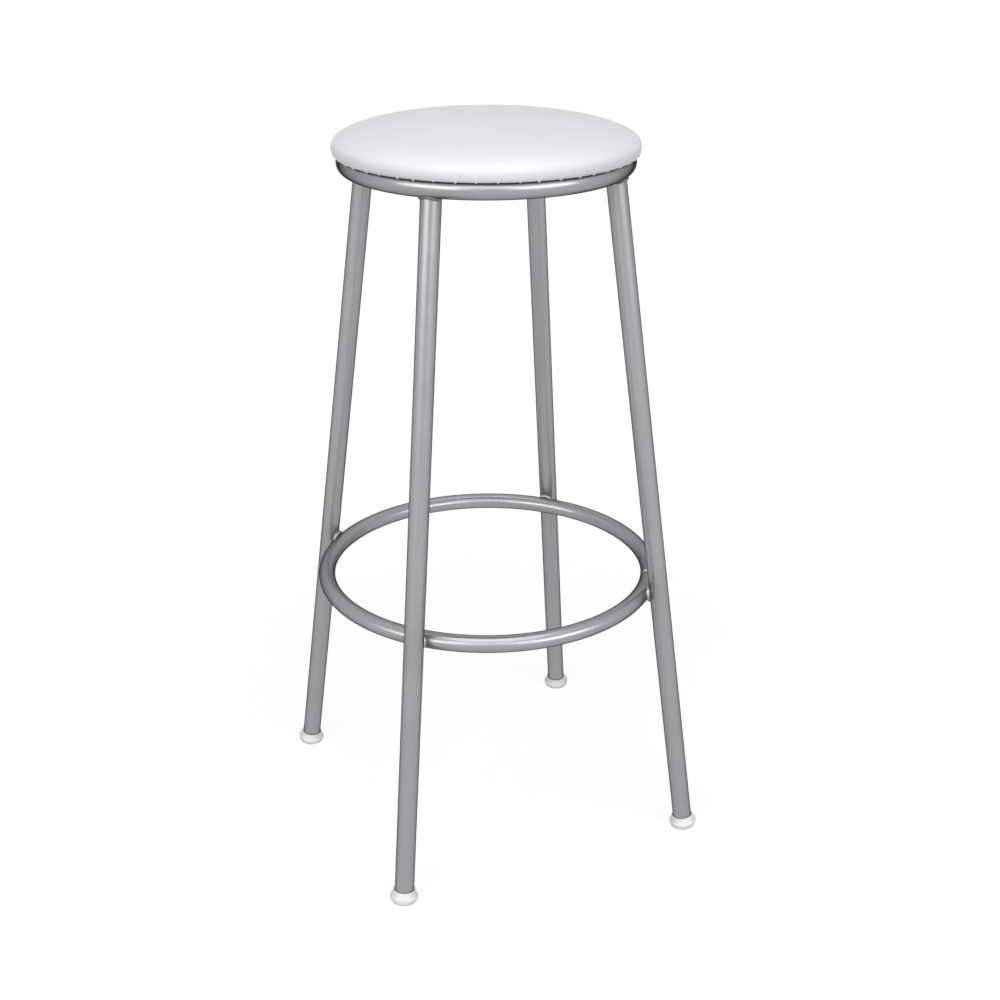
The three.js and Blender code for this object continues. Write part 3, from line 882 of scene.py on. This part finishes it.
def more_staples(material):
    """The staples at the gathers between those of the frame."""
    bm = bmesh.new()
    for number in range(GATHERS):
        if number % GATHERS_PER_NODE != FIRST_STAPLED_GATHER:
            single = merged_copy("staple_01")
            single.transform(turned_about_axis((number - FIRST_STAPLED_GATHER) * GATHER_SPACING))
            mesh = bpy.data.meshes.new("staple")
            single.to_mesh(mesh)
            single.free()
            bm.from_mesh(mesh)
            bpy.data.meshes.remove(mesh)
    finished(bm, "staples_between", material, "fastener_zinc", smooth=False)


# The stool

def make_stool():
    vinyl, paint, weld, shaded = white_vinyl(), silver_paint(), bright_weld(), painted_shade_weld()
    plastic, plywood, foam, zinc = white_plastic(), birch_plywood(), cream_foam(), zinc_plate()
    pad_cover(vinyl)
    foam_core(foam)
    seat_ring = (SEAT_RING_RADIUS, SEAT_RING_HEIGHT, SEAT_TUBE, SEAT_SEAM_ANGLE)
    foot_ring = (FOOT_RING_RADIUS, FOOT_RING_HEIGHT, FOOT_TUBE, FOOT_SEAM_ANGLE)
    rolled_tube("seat_ring", *seat_ring, paint)
    rolled_tube("foot_ring", *foot_ring, paint)
    seam_weld("seat_ring_seam_weld", *seat_ring, SEAT_SEAM_FACING, weld)
    seam_weld("foot_ring_seam_weld", *foot_ring, FOOT_SEAM_FACING, weld)
    for place, angle in LEG_ANGLES.items():
        leg_tube(place, angle, paint)
        # The leg's bead carries painted shade in its darker colour.
        leg_weld(place, angle, shaded)
        foot_ring_weld(place, angle, weld)
        glide(place, angle, plastic)
    for place, angle in TAB_ANGLES.items():
        seat_tab(place, paint)
        tab_weld(place, angle, weld)
        seat_screw(place, angle, zinc)
    more_staples(zinc)
    for number in range(1, STAPLE_NODES + 1):
        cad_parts[f"staple_{number:02d}"].material_slots[0].material = zinc
    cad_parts["seat_board"].material_slots[0].material = plywood


# Studio. A lamp's azimuth is measured from the camera's, which is measured from the front, positive
# to the right.

FLOOR_REACH = 20
STUDIO_MIDDLE = (0, 0, 0.55)
CAMERA_AZIMUTH = -23
CAMERA_PLACE = (-0.56964, -1.35183, 1.00298)
CAMERA_FORWARD = (0.36277, 0.8397, -0.4041)

# Azimuth, elevation and distance of each lamp, then its width, height and power
LAMPS = {
    "left softbox": (-42, 16, 3.4, 2.8, 1.3, 46),
    "right softbox": (44, 16, 3.4, 2.8, 1.3, 45),
    "front softbox": (0, 28, 3.2, 2.3, 1.0, 15),
    "overhead softbox": (0, 78, 2.6, 2.3, 2.3, 37),
}


def white_to_the_eye(tree, plain, shown):
    """Shows one shader to the camera, mirrors and clear things, and gives light from another."""
    path = new_node(tree, "ShaderNodeLightPath")
    seen = path.outputs["Is Camera Ray"]
    for kind in ("Is Glossy Ray", "Is Transmission Ray"):
        either = new_node(tree, "ShaderNodeMath")
        either.operation = "MAXIMUM"
        tree.links.new(seen, either.inputs[0])
        tree.links.new(path.outputs[kind], either.inputs[1])
        seen = either.outputs["Value"]
    mix = new_node(tree, "ShaderNodeMixShader")
    tree.links.new(seen, mix.inputs["Fac"])
    tree.links.new(plain, mix.inputs[1])
    tree.links.new(shown, mix.inputs[2])
    return mix.outputs["Shader"]


def floor_material():
    """Pale grey as a source of light, and white to the eye but for the stool's shadow."""
    material = bpy.data.materials.new("pale floor")
    material.use_nodes = True
    tree = material.node_tree
    tree.nodes.clear()
    plain = new_node(tree, "ShaderNodeBsdfDiffuse", {"Color": (0.42, 0.42, 0.42, 1)})
    matt = new_node(tree, "ShaderNodeBsdfDiffuse", {"Color": (0.2, 0.2, 0.2, 1)})
    glow = new_node(tree, "ShaderNodeEmission", {"Color": (1, 1, 1, 1)})
    place = new_node(tree, "ShaderNodeTexCoord")
    away = new_node(tree, "ShaderNodeVectorMath")
    away.operation = "LENGTH"
    strength = new_node(tree, "ShaderNodeMapRange", {
        "From Min": 0.3, "From Max": 2.0, "To Min": 0.88, "To Max": 1})
    strength.interpolation_type = "SMOOTHSTEP"
    tree.links.new(place.outputs["Object"], away.inputs[0])
    tree.links.new(away.outputs["Value"], strength.inputs["Value"])
    tree.links.new(strength.outputs["Result"], glow.inputs["Strength"])
    shown = new_node(tree, "ShaderNodeAddShader")
    output = new_node(tree, "ShaderNodeOutputMaterial")
    tree.links.new(matt.outputs["BSDF"], shown.inputs[0])
    tree.links.new(glow.outputs["Emission"], shown.inputs[1])
    surface = white_to_the_eye(tree, plain.outputs["BSDF"], shown.outputs["Shader"])
    tree.links.new(surface, output.inputs["Surface"])
    return material


def make_floor():
    bm = bmesh.new()
    bmesh.ops.create_grid(bm, x_segments=2, y_segments=2, size=FLOOR_REACH)
    mesh = bpy.data.meshes.new("floor")
    bm.to_mesh(mesh)
    bm.free()
    floor = bpy.data.objects.new("floor", mesh)
    bpy.context.scene.collection.objects.link(floor)
    mesh.materials.append(floor_material())


def make_world():
    world = bpy.data.worlds.new("studio")
    world.use_nodes = True
    bpy.context.scene.world = world
    tree = world.node_tree
    tree.nodes.clear()
    dim = {"Color": (0.95, 0.97, 1, 1), "Strength": 0.05}
    plain = new_node(tree, "ShaderNodeBackground", dim)
    shown = new_node(tree, "ShaderNodeBackground", {"Color": (1, 1, 1, 1), "Strength": 1})
    output = new_node(tree, "ShaderNodeOutputWorld")
    surface = white_to_the_eye(tree, plain.outputs["Background"], shown.outputs["Background"])
    tree.links.new(surface, output.inputs["Surface"])


def soft_light(name, azimuth, elevation, distance, width, height, power):
    """A softbox that faces the middle of the studio."""
    turn, up = radians(CAMERA_AZIMUTH + azimuth), radians(elevation)
    out = distance * cos(up)
    middle = Vector(STUDIO_MIDDLE)
    place = middle + Vector((out * sin(turn), -out * cos(turn), distance * sin(up)))
    light = bpy.data.lights.new(name, "AREA")
    light.shape = "RECTANGLE"
    light.size = width
    light.size_y = height
    light.energy = power
    lamp = bpy.data.objects.new(name, light)
    lamp.location = place
    lamp.rotation_euler = (middle - place).to_track_quat("-Z", "Y").to_euler()
    bpy.context.scene.collection.objects.link(lamp)


def make_studio():
    make_floor()
    make_world()
    for name, setting in LAMPS.items():
        soft_light(name, *setting)
    camera = bpy.data.cameras.new("camera")
    camera.lens = 54
    camera.sensor_width = 36
    holder = bpy.data.objects.new("camera", camera)
    holder.location = CAMERA_PLACE
    holder.rotation_euler = Vector(CAMERA_FORWARD).to_track_quat("-Z", "Y").to_euler()
    bpy.context.scene.collection.objects.link(holder)
    bpy.context.scene.camera = holder
    bpy.context.scene.view_settings.view_transform = "Standard"


make_stool()
make_studio()
